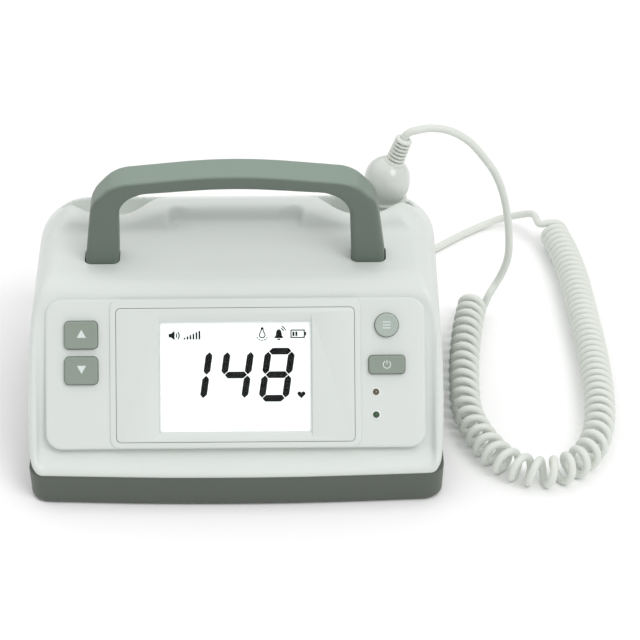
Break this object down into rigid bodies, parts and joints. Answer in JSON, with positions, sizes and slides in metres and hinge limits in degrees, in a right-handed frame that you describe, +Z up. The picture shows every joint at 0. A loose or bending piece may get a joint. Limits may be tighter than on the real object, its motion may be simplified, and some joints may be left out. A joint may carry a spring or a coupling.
{
  "type": "fetal doppler monitor",
  "caption": "Tabletop fetal heart monitor with carrying handle, sloping backlit display, push buttons and a probe in a rear cup on a curly cord.",
  "frame": {"origin": "middle of the footprint on the table, at the underside of the rubber feet", "axes": "+X to the user's right, +Y to the back, +Z up"},
  "size_m": [0.3255, 0.279, 0.1605],
  "materials": {
    "casing": "fine satin moulded ABS, warm white",
    "tray": "satin moulded ABS, grey green",
    "grip": "satin moulded ABS, grey green",
    "key": "satin moulded keys, light grey green",
    "probe": "smooth moulded ABS, warm grey",
    "probe_face": "smooth acoustic window, dark grey",
    "cord": "soft PVC jacket, light grey",
    "plug": "moulded plastic, black",
    "lens": "clear acrylic window",
    "lcd": "backlit liquid crystal panel",
    "diffuser": "milky light guide",
    "lamp_amber": "unlit amber lamp",
    "lamp_green": "lit green lamp",
    "board": "green circuit board",
    "switch": "black moulded switch",
    "battery": "blue shrink wrap",
    "speaker": "black speaker frame and cone",
    "foot": "black rubber",
    "steel": "zinc plated screws and socket shell",
    "crystal": "silvered piezo discs"
  },
  "bodies": {
    "casing": {"base_tray": "tray", "top_shell": "casing", "control_panel": "casing", "display_frame": "casing", "display_lens": "lens", "lcd_module": "lcd", "backlight": "diffuser", "key_board": "board", "key_switches": "switch", "charge_led": "lamp_amber", "power_led": "lamp_green", "main_board": "board", "battery_pack": "battery", "battery_door": "tray", "speaker": "speaker", "speaker_clamp": "switch", "handle": "grip", "handle_screws": "steel", "rubber_feet": "foot", "case_screws": "steel", "probe_socket": "steel", "dc_jack": "switch", "ear_jack": "switch", "probe_lead": "cord", "curly_cord": "cord", "device_lead": "cord", "probe_plug": "plug", "plug_boot": "cord"},
    "up_key": {"up_button": "key"},
    "down_key": {"down_button": "key"},
    "mode_key": {"mode_button": "key"},
    "power_key": {"power_button": "key"},
    "probe": {"probe_grip": "probe", "probe_head": "probe", "probe_face": "probe_face", "probe_crystals": "crystal", "probe_boot": "cord"}
  },
  "joints": [
    {"name": "up_key_press", "type": "slide", "parent": "casing", "child": "up_key", "axis": [0, 0.8192, -0.5736], "range_m": [0, 0.0008], "stiffness_N_per_m": 1500},
    {"name": "down_key_press", "type": "slide", "parent": "casing", "child": "down_key", "axis": [0, 0.8192, -0.5736], "range_m": [0, 0.0008], "stiffness_N_per_m": 1500},
    {"name": "mode_key_press", "type": "slide", "parent": "casing", "child": "mode_key", "axis": [0, 0.8192, -0.5736], "range_m": [0, 0.0008], "stiffness_N_per_m": 1500},
    {"name": "power_key_press", "type": "slide", "parent": "casing", "child": "power_key", "axis": [0, 0.8192, -0.5736], "range_m": [0, 0.0008], "stiffness_N_per_m": 1500},
    {"name": "probe_lift", "type": "slide", "parent": "casing", "child": "probe", "axis": [0, 0, 1], "range_m": [0, 0.045], "deforming": ["probe_lead"]}
  ]
}
